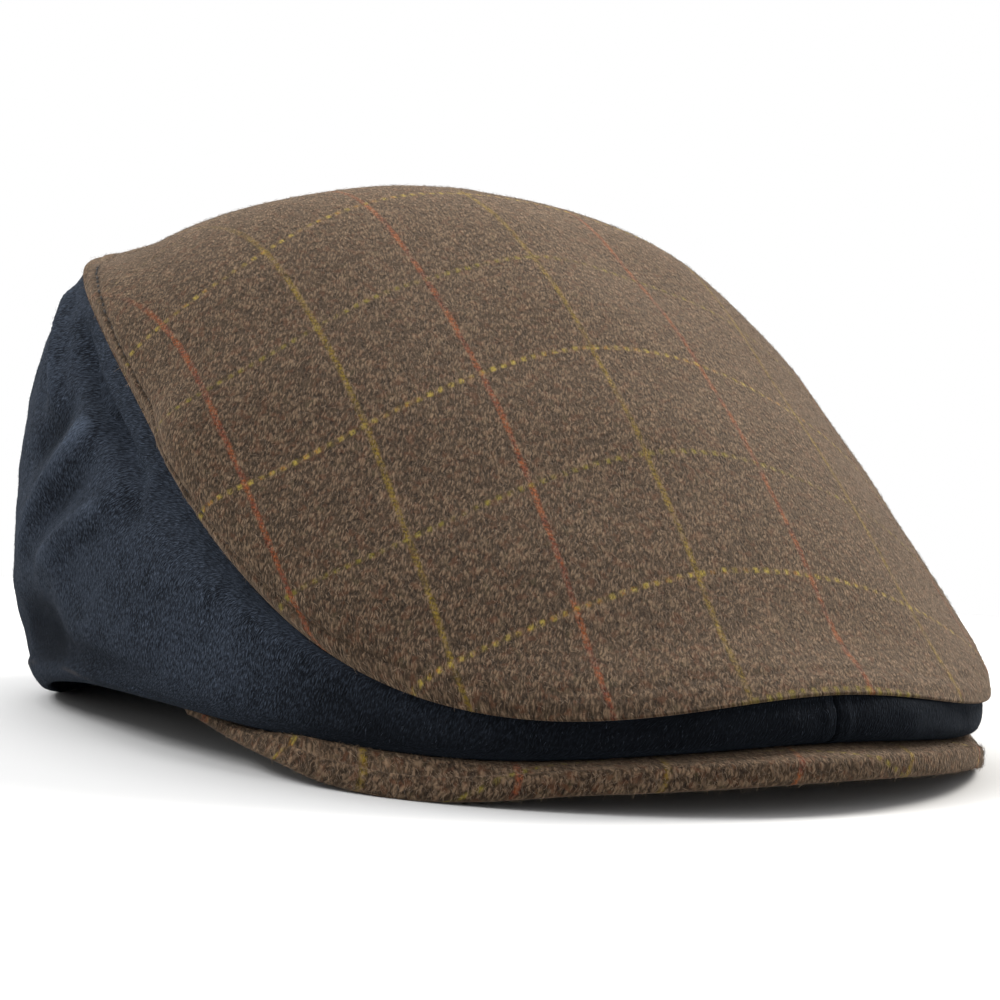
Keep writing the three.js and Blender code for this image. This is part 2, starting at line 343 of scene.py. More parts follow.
def wool_top_sheet():
    """The top's outer face, inner face and edge, and its places on the flat cloth."""
    columns = 720
    angles = np.arange(columns) * 2 * math.pi / columns
    levels = np.concatenate(
        [np.linspace(0, MARGIN, 26), np.linspace(MARGIN, 1, 28)[1:], np.linspace(1, 3, 50)[1:]]
    )
    base = on_grid(top, levels, angles)
    facing = on_grid(lambda a, l: normals(top, a, l), levels, angles)
    facing[-1] = (0, 0, 1)
    over = (1 - smooth_step(MARGIN, 1, levels))[:, None, None]
    from_edge = row_lengths(base)
    narrow = smooth_step(*LAP_NARROWS, from_front(angles))[:, None]
    lap = FRONT_LAP + (SIDE_LAP - FRONT_LAP) * narrow
    outer = base + facing * (lap * over + top_relief(base, from_edge, angles)[..., None])
    inner = base + facing * (GAP * over - CLOTH * (1 - over))
    return SimpleNamespace(
        angles=angles, levels=levels, outer=outer, inner=inner, facing=facing,
        from_edge=from_edge, cloth=cloth_places(base), upward=unit(base[1] - base[0]),
    )


def stitch_groove(from_edge, angles):
    """How far the stitches draw the wool in, from 0 to 1. Along the front, it closes over them."""
    opened = STITCH.closed + (1 - STITCH.closed) * smooth_step(*STITCH.opens, from_front(angles))
    return opened * bell(from_edge - STITCH.inset, STITCH.reach)


def top_relief(points, from_edge, angles):
    """The puffed edge, the groove of the stitch line with its puckers, and soft unevenness."""
    groove = STITCH.groove * stitch_groove(from_edge, angles)
    puff = STITCH.puff * bell(from_edge - 0.5 * STITCH.inset, STITCH.puff_width)
    near_stitches = bell(from_edge - STITCH.inset, STITCH.pucker_width)
    pucker = STITCH.pucker * waves(points, STITCH.pucker_length, 3) * near_stitches
    soft = 0.35 * waves(points, 46, 5) * smooth_step(2, 14, from_edge)
    return puff - groove + pucker + soft


def cloth_places(points):
    """Where each point lies on the flat cloth: across from the centre line, and back from the
    front seam along it. The rows of points run from the seam to the crown."""
    half = points.shape[1] // 2 + 1
    left = points[:, :half]
    ridge = np.concatenate([points[:, 0], points[-2::-1, half - 1]])
    steps = np.linalg.norm(np.diff(ridge, axis=0), axis=-1)
    y = points[..., 1]
    back = np.interp(y, ridge[:, 1], np.concatenate([[0], np.cumsum(steps)]))
    z_before = np.interp(y, ridge[:, 1], ridge[:, 2])
    x_before, across = np.zeros_like(y), np.zeros_like(y)
    for row in range(len(points) - 2, -1, -1):
        ring_x, ring_y, ring_z = left[row].T
        here = slice(0, row + 1)
        crossed = (y[here] > ring_y[0]) & (y[here] < ring_y[-1])
        x = np.where(crossed, np.interp(y[here], ring_y, ring_x), x_before[here])
        z = np.where(crossed, np.interp(y[here], ring_y, ring_z), z_before[here])
        across[here] += np.hypot(x - x_before[here], z - z_before[here])
        x_before[here], z_before[here] = x, z
    return np.stack([across * np.sign(points[..., 0]), back], -1)


def check_cells(across, along, check):
    """Places on the cloth, counted in check cells from the first lines."""
    cells = (across - check.across) / check.cell[0], (along - check.along) / check.cell[1]
    return np.stack(cells, -1)


def top_cells(places):
    across, along = places[..., 0], places[..., 1]
    aside, back = (across / TOP_CHECK.per) ** 2, along / TOP_CHECK.per
    lean = TOP_CHECK.lean * along - TOP_CHECK.straighten * back**2
    bow = aside * (TOP_CHECK.bow + TOP_CHECK.side_bow * aside - TOP_CHECK.back_bow * back)
    return check_cells(across - lean, along - bow, TOP_CHECK)


def top_grain(cells):
    along = cells[..., 1] * TOP_CHECK.cell[1]
    return np.stack([cells[..., 0] * TOP_CHECK.cell[0] - 0.3 * along, along], -1)


def peak_cells(places):
    x, y = places[..., 0], places[..., 1]
    return check_cells(x + PEAK_CHECK.slant * y, y - PEAK_CHECK.slant * x, PEAK_CHECK)


def wool_top(sheet):
    """The whole top as one closed mesh, from the crown's inside round the edge and back up."""
    edge = rolled_edge(sheet.outer[0], sheet.inner[0], -sheet.upward)
    some = np.r_[len(sheet.levels) - 1:0:-8, 0]
    rows = np.concatenate([sheet.inner[some], edge, sheet.outer])
    edge_cloth = np.repeat(sheet.cloth[:1], len(edge), 0)
    cells = top_cells(np.concatenate([sheet.cloth[some], edge_cloth, sheet.cloth]))
    # the stitch groove's share, also passed on to paint shade in the groove
    groove = np.zeros(rows.shape[:2] + (1,))
    groove[-len(sheet.outer):, :, 0] = stitch_groove(sheet.from_edge, sheet.angles)
    extras = {"check": np.concatenate([cells, groove], -1), "grain": top_grain(cells)}
    return domed_mesh("wool_top", rows, extras)


def panel_points(angle, level, depth):
    """Points of a side panel's cloth, at a depth below its outer face."""
    points, facing = plain_wall(angle, level), normals(plain_wall, angle, level)
    fade = smooth_step(0, 0.5, level) * (1 - smooth_step(2.8, 3, level))
    placed = points + facing * (fold_lift(points) * fade - depth)[..., None]
    flat = np.where(level == 0, smooth_step(*FLAT_HEM, np.abs(angle)), 0)
    placed[..., 2] += (points[..., 2] - placed[..., 2]) * flat
    if depth > 0:
        edge = np.zeros_like(level)
        held = keep_behind(placed, top(angle, edge), normals(top, angle, edge), depth)
        placed = np.where((level >= NEAR_SEAM)[..., None], held, placed)
    return placed


def panel_relief(angle, level, points):
    """What is added to the panels' outer face: the hem's band, the turned-in edges at the
    centre seams with the ridges of their allowances, and soft unevenness."""
    band = 1 - smooth_step(HEM_BAND.bottom, HEM_BAND.top, level)
    band *= HEM_BAND.thickness * smooth_step(HEM_BAND.from_angle, HEM_BAND.to_angle, np.abs(angle))
    from_seam = np.abs(points[..., 0])
    turned = np.clip(1 - from_seam / CENTRE_SEAM.radius, 0, 1) ** 2
    ridge = bell(from_seam - CENTRE_SEAM.ridge_at, CENTRE_SEAM.ridge_width)
    seam = CENTRE_SEAM.ridge * ridge - CENTRE_SEAM.depth * turned
    clear = smooth_step(0.8, 1.1, level) * (1 - smooth_step(2.85, 3, level))
    soft = 0.3 * waves(points, 30, 11) + 0.12 * waves(points, 9, 12)
    return band + seam * smooth_step(0.7, 1, level) + soft * clear


def suede_panel_sheet(side):
    columns = 330
    share = np.linspace(0, 1, columns)
    angles = math.pi * (share - 0.8 * np.sin(2 * math.pi * share) / (2 * math.pi))
    if side < 0:
        angles = -angles[::-1]
    levels = np.linspace(0, SEAM_LEVEL, 118)
    margin_levels = np.linspace(0, MARGIN, 7)[1:]
    wall = on_grid(plain_wall, levels, angles)
    facing = on_grid(lambda a, l: normals(plain_wall, a, l), levels, angles)
    level, angle = np.meshgrid(levels, angles, indexing="ij")
    relief = panel_relief(angle, level, wall)[..., None]
    outer = on_grid(lambda a, l: panel_points(a, l, 0), levels, angles) + facing * relief
    inner = on_grid(lambda a, l: panel_points(a, l, CLOTH), levels, angles)
    margin = on_grid(top, margin_levels, angles)
    margin_facing = on_grid(lambda a, l: normals(top, a, l), margin_levels, angles)
    seam_facing = normals(plain_wall, angles, np.full_like(angles, SEAM_LEVEL))
    seam = ring_points("seam", angles)
    tucked = margin - margin_facing * CLOTH
    for _ in range(4):
        tucked = keep_behind(tucked, seam, seam_facing, CLOTH)
        tucked = keep_behind(tucked, margin, margin_facing, CLOTH)
    return SimpleNamespace(
        angles=angles, levels=levels,
        outer=np.concatenate([outer, margin - margin_facing * UNDERLAP]),
        inner=np.concatenate([inner, tucked]),
        upward=unit(wall[1] - wall[0]),
    )


def suede_panel(name, sheet):
    hem = rolled_edge(sheet.outer[0], sheet.inner[0], -sheet.upward)
    rows = np.concatenate([hem[3:], sheet.outer, sheet.inner[::-1], hem[:3]])
    rows[..., 2] = np.maximum(rows[..., 2], 0)
    belly = sheet.outer[2 * len(sheet.levels) // SEAM_LEVEL]
    around = np.broadcast_to(row_lengths(belly[:, None])[:, 0], rows.shape[:2])
    # painted shade: the front band is darkened as if shaded by the crown, passed on in the nap's
    # third value as a sunk fold
    flat = FRONT_PAINTED_SHADE * (1 - smooth_step(*FRONT_SHADE_FADES, np.abs(sheet.angles)))
    nap = np.stack([around, row_lengths(rows), fold_lift(rows) - flat], -1)
    return capped_mesh(name, rows, {"nap": nap})


def peak_edge(angle):
    turned = angle + PEAK.turn * angle * np.abs(angle)
    s, c = squared(turned, PEAK.square)
    along = np.abs(turned) / (math.pi / 2)
    rows = list(PEAK_EDGE.values())
    places, heights = [row.along for row in rows], [row.height for row in rows]
    slopes = [0] + [
        (heights[min(k + 1, len(rows) - 1)] - heights[k - 1])
        / (places[min(k + 1, len(rows) - 1)] - places[k - 1])
        for k in range(1, len(rows))
    ]
    i = np.clip(np.searchsorted(places, along, side="right") - 1, 0, len(rows) - 2)
    places, heights, slopes = map(np.array, (places, heights, slopes))
    span = places[i + 1] - places[i]
    u = np.minimum((along - places[i]) / span, 1)
    z = hermite(heights[i], heights[i + 1], slopes[i] * span, slopes[i + 1] * span, u)
    y = PEAK.widest_at + (PEAK.reach - PEAK.widest_at) * c
    return np.stack([PEAK.half * s, y, np.maximum(z, 0)], -1)


def peak_rows():
    """The peak's sections, which run out under the body, round the rim and back in, and where
    they lie on its flat cloth."""
    columns, covered_rows, free_rows, rim_rows = 420, 14, 10, 12
    angles = np.linspace(-PEAK.last, PEAK.last, columns)
    full = 1 - smooth_step(PEAK.taper_from, PEAK.last, np.abs(angles))
    thickness = (PEAK.end_thickness + (PEAK.thickness - PEAK.end_thickness) * full)[:, None]
    clearance = PEAK.end_clearance + (GAP - PEAK.end_clearance) * full

    def under(level):
        narrowed = level * (PEAK.end_level + (1 - PEAK.end_level) * full)
        points = panel_points(angles, narrowed, 0)
        points[:, 2] -= clearance
        return points

    down = np.array([0, 0, 1]) * thickness
    end = under(1) - down
    edge = end + (peak_edge(angles) - end) * full[:, None]
    covered = [under(level) for level in np.linspace(0, PEAK.covered, covered_rows)]
    inward = unit((covered[0] - edge) * np.array([1, 1, 0]))
    rim_top = edge + inward * PEAK.rim + down
    spans = [under(PEAK.covered - 0.2), covered[-1], rim_top]
    free = [curve_through(spans, np.full(columns, 1 + u / free_rows)) for u in range(1, free_rows)]
    upper = np.stack([*covered, *free, rim_top])
    upper[covered_rows:] += np.array([0, 0, 0.16]) * waves(upper[covered_rows:], 26, 21)[..., None]
    lower = upper - down
    floor = (edge[:, 2] * (1 - full))[None]
    lower[..., 2] = np.maximum(lower[..., 2], floor)
    centre = edge + inward * PEAK.rim + down / 2
    turns = np.arange(1, rim_rows + 1) / (rim_rows + 1) * math.pi
    rim = np.stack([
        centre + down / 2 * np.sign(math.cos(t)) * abs(math.cos(t)) ** 0.8
        - inward * PEAK.rim * math.sin(t) ** 0.8 for t in turns
    ])
    rows = np.concatenate([upper, rim, lower[::-1]])
    outward_length = row_lengths(np.concatenate([upper[-1:], rim, lower[-1:]]))
    wrapped = rows[..., :2].copy()
    first = len(upper) - 1
    wrapped[first:first + len(outward_length)] = (
        rim_top[:, :2] - inward[:, :2] * outward_length[..., None]
    )
    shown = rows[covered_rows - 2:len(upper) + rim_rows]
    return SimpleNamespace(rows=rows, wrapped=wrapped, shown=shown[::-1])


def wool_peak(peak):
    extras = {"check": peak_cells(peak.wrapped)[::-1], "grain": peak.wrapped[::-1]}
    return capped_mesh("wool_peak", peak.rows[::-1], extras)


WOOL_HAIR = SimpleNamespace(length=(0.7, 1.9), rise=(0.08, 0.5), spread=0.6, width=0.075)
NAP_HAIR = SimpleNamespace(length=(0.4, 1.0), rise=(0.08, 0.35), spread=0.35, width=0.06)


def make_mesh(name, points, faces, extras):
    """A smooth mesh object in metres, with extra values for each point."""
    mesh = bpy.data.meshes.new(name)
    mesh.from_pydata((points * MM).tolist(), [], faces)
    mesh.polygons.foreach_set("use_smooth", [True] * len(mesh.polygons))
    for extra, values in extras.items():
        flat = np.zeros((len(points), 3), np.float32)
        flat[:, :values.shape[-1]] = values
        mesh.attributes.new(extra, "FLOAT_VECTOR", "POINT").data.foreach_set("vector", flat.ravel())
    mesh.validate()
    piece = bpy.data.objects.new(name, mesh)
    bpy.context.scene.collection.objects.link(piece)
    return piece


def quads(index):
    """Faces between the rows and columns of a grid of point numbers."""
    a, b, c, d = index[:-1, :-1], index[:-1, 1:], index[1:, 1:], index[1:, :-1]
    return np.stack([a, b, c, d], -1).reshape(-1, 4)


def domed_mesh(name, rows, extras):
    """A closed mesh of rings, whose first and last rows are single points."""
    count, columns = rows.shape[:2]
    index = np.arange((count - 2) * columns).reshape(count - 2, columns) + 1
    index = np.concatenate([index, index[:, :1]], 1)
    last = (count - 2) * columns + 1
    faces = quads(index).tolist()
    faces += [(0, b, a) for a, b in zip(index[0, :-1].tolist(), index[0, 1:].tolist())]
    faces += [(a, b, last) for a, b in zip(index[-1, :-1].tolist(), index[-1, 1:].tolist())]

    def flat(values):
        middle = values[1:-1].reshape(-1, values.shape[-1])
        return np.concatenate([values[0, :1], middle, values[-1, :1]])

    return make_mesh(name, flat(rows), faces, {key: flat(v) for key, v in extras.items()})


def capped_mesh(name, rows, extras):
    """A closed mesh of sections side by side: each column is a loop, and a ladder of faces
    closes the first and the last loop."""
    count, columns = rows.shape[:2]
    index = np.arange(count * columns).reshape(count, columns)
    faces = quads(np.concatenate([index, index[:1]])).tolist()
    for column, flip in ((0, 1), (columns - 1, -1)):
        loop = index[:, column].tolist()
        for k in range(count // 2 - 1):
            rung = (loop[k], loop[k + 1], loop[count - 2 - k], loop[count - 1 - k])
            faces.append(rung[::flip])

    def flat(values):
        return values.reshape(-1, values.shape[-1])

    return make_mesh(name, flat(rows), faces, {key: flat(v) for key, v in extras.items()})


def top_stitches(sheet):
    """A row of short sunk stitches along the top's edge."""
    at = np.array([
        np.interp(STITCH.inset, sheet.from_edge[:, c], np.arange(len(sheet.levels)))
        for c in range(len(sheet.angles))
    ])
    low = np.floor(at).astype(int)
    share, column = (at - low)[:, None], np.arange(len(at))
    line = sheet.outer[low, column] * (1 - share) + sheet.outer[low + 1, column] * share
    facing = sheet.facing[low, column]
    closed = np.concatenate([line, line[:1]])
    along = np.concatenate([[0], np.cumsum(np.linalg.norm(np.diff(closed, axis=0), axis=-1))])
    facing = np.concatenate([facing, facing[:1]])
    number = round(along[-1] / STITCH.pitch)
    sides, rings = 6, 5
    points, faces = [], []
    for stitch in range(number):
        share = np.linspace(-0.5, 0.5, rings)
        place = (stitch + 0.5) * along[-1] / number + share * STITCH.length
        centre = np.stack([np.interp(place, along, closed[:, i]) for i in range(3)], -1)
        up = unit(np.stack([np.interp(place, along, facing[:, i]) for i in range(3)], -1))
        from_centre = abs(math.atan2(*centre[2, :2] * (1, -1)))
        sunk = STITCH.sinks * (1 - smooth_step(*STITCH.opens, from_centre)) - STITCH.stands
        centre = centre - up * (sunk + STITCH.bow * (2 * share[:, None]) ** 4)
        ahead = unit(np.gradient(centre, axis=0))
        aside = unit(np.cross(ahead, up))
        radius = STITCH.radius * np.sqrt(1.02 - (2 * share) ** 4)
        first = len(points)
        for ring in range(rings):
            for turn in np.arange(sides) * 2 * math.pi / sides:
                wide = aside[ring] * math.cos(turn) * STITCH.flatness
                offset = wide + up[ring] * math.sin(turn)
                points.append(centre[ring] + offset * radius[ring])
        for ring in range(rings - 1):
            for k in range(sides):
                n, start = (k + 1) % sides, first + ring * sides
                faces.append((start + k, start + n, start + sides + n, start + sides + k))
        faces.append(tuple(first + k for k in reversed(range(sides))))
        faces.append(tuple(first + (rings - 1) * sides + k for k in range(sides)))
    return make_mesh("top_stitches", np.array(points), faces, {})


def fibres(name, points, number, seed, kind):
    """Short hairs on the outer side of a grid of points: narrow ribbons that taper, bend and
    twist. Most lean along the grid's columns."""
    draw = np.random.default_rng(seed)
    corner, beside, above = points[:-1, :-1], points[:-1, 1:], points[1:, :-1]
    area = np.linalg.norm(np.cross(beside - corner, above - corner), axis=-1)
    chosen = draw.choice(area.size, number, p=(area / area.sum()).ravel())
    place = np.unravel_index(chosen, area.shape)
    aside, upward = unit(beside - corner)[place], unit(above - corner)[place]
    outward = unit(np.cross(aside, upward))
    share = draw.uniform(size=(2, number, 1))
    root = corner[place] + (beside - corner)[place] * share[0] + (above - corner)[place] * share[1]

    def between(low, high):
        return draw.uniform(low, high, (number, 1))

    turn = draw.normal(0, kind.spread, (number, 1)) + math.pi * draw.integers(0, 2, (number, 1))
    ahead = unit(upward * np.cos(turn) + aside * np.sin(turn))
    level = np.cross(ahead, outward)
    length, rise = between(*kind.length), between(*kind.rise)
    bend, twist = between(-0.3, 0.3), between(-1, 1)
    flat = level * np.cos(twist) + outward * np.sin(twist)
    vertices = []
    for t in (0, 1 / 3, 2 / 3, 1):
        centre = root + length * (ahead * t + level * bend * t * t)
        centre = centre + outward * (rise * t * (2 - t) - 0.05)
        half = kind.width / 2 * (1 - 0.7 * t)
        vertices += [centre - flat * half, centre + flat * half] if t < 1 else [centre]
    stations = len(vertices)
    points = np.stack(vertices, 1).reshape(-1, 3)
    points[:, 2] = np.maximum(points[:, 2], 0)
    first = (np.arange(number) * stations)[:, None]
    ladder = [first + np.array(rung) for rung in ((0, 1, 3, 2), (2, 3, 5, 4))]
    faces = np.concatenate(ladder).tolist() + (first + np.array((4, 5, 6))).tolist()
    shade = np.repeat(draw.uniform(size=(number, 1)), stations, 0)
    return make_mesh(name, points, faces, {"shade": shade})


def colour(red, green, blue):
    """A linear colour from the usual 0 to 255 values."""
    def linear(value):
        v = value / 255
        return v / 12.92 if v <= 0.04045 else ((v + 0.055) / 1.055) ** 2.4
    return (linear(red), linear(green), linear(blue), 1.0)


class Value:
    """A value that changes over a surface. A formula on it adds Math nodes to its finish."""

    def __init__(self, finish, socket):
        self.finish = finish
        self.socket = socket

    def math(self, operation, *values):
        return self.finish.node("ShaderNodeMath", {"operation": operation}, dict(enumerate(values)))

    def __add__(self, other):
        return self.math("ADD", self, other)

    def __sub__(self, other):
        return self.math("SUBTRACT", self, other)

    def __rsub__(self, other):
        return self.math("SUBTRACT", other, self)

    def __mul__(self, other):
        return self.math("MULTIPLY", self, other)

    def __truediv__(self, other):
        return self.math("DIVIDE", self, other)

    __radd__ = __add__
    __rmul__ = __mul__

    def abs(self):
        return self.math("ABSOLUTE", self)

    def fraction(self):
        return self.math("FRACT", self)

    def floor(self):
        return self.math("FLOOR", self)

    def smooth(self, low, high):
        """0 below low and 1 above high, smooth between them. low may be the higher one."""
        inputs = {"Value": self, "From Min": low, "From Max": high}
        return self.finish.node("ShaderNodeMapRange", {"interpolation_type": "SMOOTHSTEP"}, inputs)


class Finish:
    """A material, built node by node."""

    def __init__(self, name):
        self.material = bpy.data.materials.new(name)
        self.material.use_nodes = True
        self.tree = self.material.node_tree
        self.tree.nodes.clear()

    def node(self, kind, settings, inputs, output=0):
        """Adds a node with its settings and its sockets' values or links, and gives an output."""
        made = self.tree.nodes.new(kind)
        for name, value in settings.items():
            setattr(made, name, value)
        for name, value in inputs.items():
            if isinstance(value, Value):
                self.tree.links.new(value.socket, made.inputs[name])
            else:
                made.inputs[name].default_value = value
        return Value(self, made.outputs[output])

    def mix(self, first, second, share, blend="MIX"):
        """One colour over another by a share."""
        settings = {"data_type": "RGBA", "blend_type": blend}
        return self.node("ShaderNodeMix", settings, {0: share, 6: first, 7: second}, 2)

    def vector(self, operation, *values):
        return self.node("ShaderNodeVectorMath", {"operation": operation}, dict(enumerate(values)))

    def place(self):
        """The place on the object in millimetres."""
        coordinates = self.node("ShaderNodeTexCoord", {}, {}, "Object")
        return self.vector("MULTIPLY", coordinates, (1 / MM,) * 3)

    def attribute(self, name):
        return self.node("ShaderNodeAttribute", {"attribute_name": name}, {}, "Vector")

    def apart(self, vector):
        """A vector's three values."""
        return [self.node("ShaderNodeSeparateXYZ", {}, {0: vector}, k) for k in range(3)]

    def joined(self, x, y, z=0.0):
        return self.node("ShaderNodeCombineXYZ", {}, {0: x, 1: y, 2: z})

    def noise(self, place, size, detail=2.0, roughness=0.5, output="Fac"):
        """Soft noise whose lumps are about a size across."""
        inputs = {"Vector": place, "Scale": 1 / size, "Detail": detail, "Roughness": roughness}
        return self.node("ShaderNodeTexNoise", {"noise_dimensions": "3D"}, inputs, output)

    def strokes(self, across, along, slant, wide, long):
        """Short strokes at random places, some strong and some weak, between 0 and 1."""
        place = self.joined((across + along * slant) / wide, along / long)
        settings = {"voronoi_dimensions": "2D"}
        inputs = {"Vector": place, "Scale": 1.0}
        near = self.node("ShaderNodeTexVoronoi", settings, inputs, "Distance")
        strength = self.apart(self.node("ShaderNodeTexVoronoi", settings, inputs, "Color"))[0]
        return near.smooth(0.55, 0.1) * strength.smooth(0.2, 0.95)

    def bump(self, height, depth, strength=1.0):
        """The shading of relief, whose height from 0 to 1 stands for a depth in millimetres."""
        inputs = {"Height": height, "Distance": depth * MM, "Strength": strength}
        return self.node("ShaderNodeBump", {}, inputs)

    def surface(self, inputs):
        shader = self.node("ShaderNodeBsdfPrincipled", {}, inputs)
        end = self.tree.nodes.new("ShaderNodeOutputMaterial")
        self.tree.links.new(shader.socket, end.inputs["Surface"])
        return self.material


WOOL = SimpleNamespace(
    dark=colour(18, 13, 9),
    middle=colour(41, 31, 22),
    light=colour(107, 88, 70),
    warm=colour(66, 40, 26),
    green=colour(46, 44, 26),
    red=colour(104, 34, 22),
    rust=colour(116, 56, 20),
    olive=colour(104, 86, 14),
    pale=colour(128, 112, 44),
    ochre=colour(122, 84, 30),
    faint=colour(106, 96, 26),
)
SUEDE = SimpleNamespace(
    dark=colour(3, 4, 6),
    middle=colour(28, 32, 39),
    light=colour(73, 82, 96),
    worn=colour(84, 76, 68),
)
THREAD = SimpleNamespace(dark=colour(20, 16, 13), light=colour(44, 36, 30))


def check_line(cell, size, width, wobble):
    """How much a line of the check covers, from places counted in cells of a size."""
    from_line = ((cell + 0.5).fraction() - 0.5).abs() * size
    return (from_line + wobble).smooth(width * 0.72, width * 0.3)


def wool(name, painted_lightness):
    """Felted wool with salt and pepper flecks and a windowpane check of broken lines. Its lightness
    is 1 for the top's cloth; above 1 the cloth is painted lighter, standing in for light that falls
    short on it."""
    f = Finish(name)
    place = f.place()
    across, along, groove = f.apart(f.attribute("check"))
    wide, long = TOP_CHECK.cell
    across_mm, along_mm = across * wide, along * long
    aside, upward, _ = f.apart(f.attribute("grain"))
    aside = aside + f.noise(place, 1.6, 2.0, 0.6) * 1.4
    grain = f.noise(f.joined(aside / 0.5, upward / 1.1), 1.0, 3.0, 0.7)
    salt = f.strokes(aside, upward, -0.15, 0.7, 1.6)
    more_salt = f.strokes(aside + 31.7, upward + 5.3, 0.2, 0.95, 2.2)
    pepper = f.strokes(aside + 11.3, upward + 23.9, 0.05, 0.8, 1.9)
    clumps = f.noise(place, 2.6, 2.0, 0.6)
    patch = f.noise(place, 14.0, 3.0, 0.6)

    body = f.mix(WOOL.dark, WOOL.middle, grain.smooth(0.28, 0.55))
    body = f.mix(body, WOOL.light, grain.smooth(0.5, 0.72) * 0.6)
    body = f.mix(body, WOOL.warm, f.noise(place, 1.9, 2.0, 0.6).smooth(0.5, 0.68) * 0.55)
    body = f.mix(body, WOOL.green, f.noise(place, 2.6, 2.0, 0.6).smooth(0.56, 0.74) * 0.3)
    body = f.mix(body, WOOL.dark, pepper * 0.85)
    body = f.mix(body, WOOL.light, salt * 0.6)
    body = f.mix(body, WOOL.light, more_salt * clumps.smooth(0.4, 0.6) * 0.5)

    wobble = (grain - 0.5) * 2.2 + (clumps - 0.5) * 0.9
    patchy = f.noise(place, 5.0, 3.0, 0.65)
    fade = (patchy.smooth(0.34, 0.6) * 0.6 + 0.22) * (1 - along.smooth(3.8, 5.0) * 0.8)
    felted = grain.smooth(0.34, 0.58) * 0.85 + 0.15 - more_salt * 0.3
    red_or_olive = ((across + 0.5).floor() * 0.5).fraction() * 2
    twill = ((along_mm + across_mm * 0.8) / 1.25).fraction()
    broken = (twill - 0.5).abs().smooth(0.05, 0.4) * 0.5 + 0.5
    long_line = check_line(across, wide, 1.35, wobble) * broken * fade * felted
    reds = f.mix(WOOL.red, WOOL.rust, patchy.smooth(0.42, 0.58))
    body = f.mix(body, f.mix(reds, WOOL.olive, red_or_olive), long_line)

    faint_row = ((along + 0.5).floor() * 0.5).fraction() * 2
    dots = ((across_mm / 2.75 + (clumps - 0.5) * 0.5).fraction() - 0.5).abs().smooth(0.34, 0.1)
    strength = (dots * 0.9 + 0.1) * (1.15 - faint_row * 0.3)
    cross_line = check_line(along, long, 1.35, wobble) * fade * felted * strength
    dyed = f.mix(WOOL.pale, WOOL.ochre, clumps.smooth(0.5, 0.62))
    body = f.mix(body, f.mix(dyed, WOOL.faint, faint_row), cross_line)
    # a lightness above 1 paints the whole cloth lighter, standing in for light
    low, high = ((painted_lightness * v,) * 3 + (1,) for v in (0.8, 1.2))
    shades = f.mix(low, high, clumps * 0.5 + patch * 0.5)
    body = f.mix(body, shades, 1.0, "MULTIPLY")
    # painted shade in the stitch line's groove
    body = f.mix(body, WOOL.dark, groove * 0.9)

    return f.surface({
        "Base Color": body,
        "Roughness": 0.95,
        "Specular IOR Level": 0.1,
        "Sheen Weight": 0.18,
        "Sheen Roughness": 0.5,
        "Sheen Tint": (0.8, 0.6, 0.43, 1),
        "Normal": f.bump(grain * 0.7 + salt * 0.3 - pepper * 0.3, 0.5),
    })


def suede(name):
    """Dark suede with a short brushed nap of slanted strokes. Painted highlights lighten the folds'
    ridges, and painted shade darkens the valleys between them, the hollows, a band above the hem
    and the front band."""
    f = Finish(name)
    place = f.place()
    # lift is the folds' lift less the front band's painted shade; below, it paints highlights on
    # ridges and shade in valleys
    around, up, lift = f.apart(f.attribute("nap"))
    swirl = f.noise(place, 9.0, 2.0, 0.5)
    slanted = around - up * 0.3 + (swirl - 0.5) * 1.8
    lit = f.strokes(slanted, up, 0.1, 0.5, 1.3)
    deep = f.strokes(slanted + 17.3, up + 9.1, -0.1, 0.5, 1.4)
    grain = f.noise(f.joined(slanted / 0.4, up / 1.1), 1.0, 3.0, 0.7)
    brushed = f.noise(place, 15.0, 3.0, 0.6)
    clouds = f.noise(place, 4.0, 3.0, 0.6)
    shade = f.mix(SUEDE.dark, SUEDE.middle, (brushed * 0.5 + clouds * 0.5).smooth(0.3, 0.58))
    # painted shade: darker in a band just above the hem
    shade = f.mix(shade, SUEDE.dark, up.smooth(8.0, 10.0) * up.smooth(32.0, 14.0) * 0.6)
    # painted highlight on the folds' ridges
    shade = f.mix(shade, SUEDE.light, lift.smooth(0.8, 2.6) * 0.7)
    shade = f.mix(shade, SUEDE.light, grain.smooth(0.48, 0.72) * 0.5)
    shade = f.mix(shade, SUEDE.light, lit * 0.3)
    shade = f.mix(shade, SUEDE.dark, deep * 0.55)
    shade = f.mix(shade, SUEDE.dark, grain.smooth(0.52, 0.36) * 0.6)
    # painted shade in the folds' valleys and hollows, and on the front band
    shade = f.mix(shade, SUEDE.dark, lift.smooth(-0.4, -3.2) * 0.9)
    worn = (up - 8.6).abs().smooth(1.2, 0.3) * brushed.smooth(0.4, 0.62) * 0.35
    shade = f.mix(shade, SUEDE.worn, worn * lift.smooth(-1.6, -0.5))
    return f.surface({
        "Base Color": shade,
        "Roughness": 0.95,
        "Specular IOR Level": 0.05,
        "Sheen Weight": 0.05,
        "Sheen Roughness": 0.5,
        "Sheen Tint": (0.34, 0.46, 0.66, 1),
        "Normal": f.bump(lit * 0.3 - deep * 0.3 + grain * 0.8, 0.45),
    })


def hair(name, dark, light):
    """The hairs, each of one shade between two."""
    f = Finish(name)
    shade = f.apart(f.attribute("shade"))[0]
    return f.surface({"Base Color": f.mix(dark, light, shade), "Roughness": 0.9})


def thread(name):
    f = Finish(name)
    ply = f.noise(f.place(), 0.5, 2.0, 0.6)
    shade = f.mix(THREAD.dark, THREAD.light, ply.smooth(0.4, 0.7))
    return f.surface({"Base Color": shade, "Roughness": 0.9, "Normal": f.bump(ply, 0.1)})


def plain_floor(name):
    f = Finish(name)
    return f.surface({"Base Color": colour(176, 176, 176), "Roughness": 0.9})


